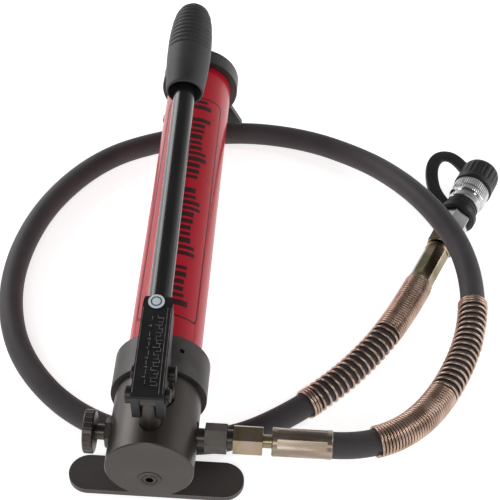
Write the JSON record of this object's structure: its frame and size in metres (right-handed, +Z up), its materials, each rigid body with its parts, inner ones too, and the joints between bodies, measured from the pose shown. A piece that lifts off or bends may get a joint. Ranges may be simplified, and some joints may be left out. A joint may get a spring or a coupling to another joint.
{
  "type": "hydraulic hand pump",
  "caption": "Lever-operated hydraulic hand pump with round tank, release knob, rubber hose with spring guards, quick coupler and tied dust cap.",
  "frame": {"origin": "centre of the front foot bar's underside, on the floor", "axes": "+Y rearwards along the pump and tank, +X towards the hose outlet, +Z up"},
  "size_m": [0.4293, 0.4566, 0.1908],
  "materials": {
    "head_black": "satin dark gunmetal",
    "tank_red": "gloss red enamel",
    "lever_black": "gloss black",
    "grip_rubber": "matte dark grey",
    "hose_rubber": "matte charcoal",
    "seal_rubber": "matte black",
    "plain_steel": "machined",
    "black_oxide": "black oxide",
    "zinc_yellow": "yellow zinc plate",
    "guard_zinc": "iridescent yellow zinc wire",
    "chrome_plate": "polished chrome",
    "filter_brass": "woven brass"
  },
  "bodies": {
    "pump": {"pump_body": "head_black", "relief_plug": "black_oxide", "relief_washer": "plain_steel", "tank_tube": "tank_red", "tank_collar": "head_black", "collar_set_screw": "black_oxide", "end_cap": "head_black", "filler_plug": "black_oxide", "tank_seal_front": "seal_rubber", "tank_seal_rear": "seal_rubber", "oil_bladder": "seal_rubber", "bladder_clamp": "plain_steel", "suction_strainer": "filter_brass", "front_foot": "head_black", "foot_riser": "head_black", "foot_screws": "black_oxide", "rear_stand": "head_black", "stand_screws": "black_oxide", "fulcrum_post": "black_oxide", "plunger_gland": "black_oxide", "rod_wiper": "seal_rubber", "release_gland": "black_oxide", "stop_pin": "plain_steel", "outlet_adapter": "black_oxide", "hose_nut": "zinc_yellow", "hose_insert_1": "zinc_yellow", "ferrule_1": "zinc_yellow", "ferrule_2": "zinc_yellow", "hose_insert_2": "zinc_yellow", "coupler_adapter": "zinc_yellow", "coupler_body": "chrome_plate", "poppet_spring": "plain_steel", "strap_ring": "seal_rubber", "hose": "hose_rubber", "spring_guard_1": "guard_zinc", "spring_guard_2": "guard_zinc", "cap_strap": "seal_rubber"},
    "lever": {"lever_fork": "lever_black", "fulcrum_pin": "black_oxide", "plunger_pin": "black_oxide", "pin_clips": "plain_steel", "handle_tube": "lever_black", "handle_grip": "grip_rubber"},
    "plunger": {"plunger": "plain_steel", "plunger_seal": "seal_rubber"},
    "release_ball": {"release_ball": "plain_steel"},
    "release_valve": {"release_spindle": "black_oxide", "release_knob": "head_black"},
    "coupler_sleeve": {"coupler_sleeve": "chrome_plate"},
    "coupler_poppet": {"coupler_poppet": "plain_steel"},
    "dust_cap": {"dust_cap": "seal_rubber"}
  },
  "joints": [
    {"name": "lever_pivot", "type": "hinge", "parent": "pump", "child": "lever", "pos_m": [0, -0.013, 0.121], "axis": [1, 0, 0], "range_deg": [-8, 42]},
    {"name": "plunger_slide", "type": "slide", "parent": "pump", "child": "plunger", "axis": [0, 0, 1], "range_m": [-0.0038, 0.0192]},
    {"name": "release_lift", "type": "slide", "parent": "pump", "child": "release_ball", "axis": [-1, 0, 0], "range_m": [0, 0.00112]},
    {"name": "release_turn", "type": "hinge", "parent": "release_ball", "child": "release_valve", "pos_m": [-0.04, -0.001, 0.0585], "axis": [-1, 0, 0], "range_deg": [0, 270.5]},
    {"name": "sleeve_spin", "type": "hinge", "parent": "pump", "child": "coupler_sleeve", "pos_m": [0.25162, 0.31894, 0.0176], "axis": [0.3859, 0.9225, 0], "continuous": true},
    {"name": "poppet_slide", "type": "slide", "parent": "pump", "child": "coupler_poppet", "axis": [-0.3859, -0.9225, 0], "range_m": [0, 0.004], "stiffness_N_per_m": 800, "deforming": ["poppet_spring"]},
    {"name": "cap_pull", "type": "slide", "parent": "pump", "child": "dust_cap", "axis": [0.3859, 0.9225, 0], "range_m": [0, 0.013], "deforming": ["cap_strap"]}
  ],
  "couplings": [
    {"joint": "plunger_slide", "follows": "lever_pivot", "m_per_rad": 0.025981},
    {"joint": "release_turn", "follows": "release_lift", "rad_per_m": 4188.8}
  ]
}
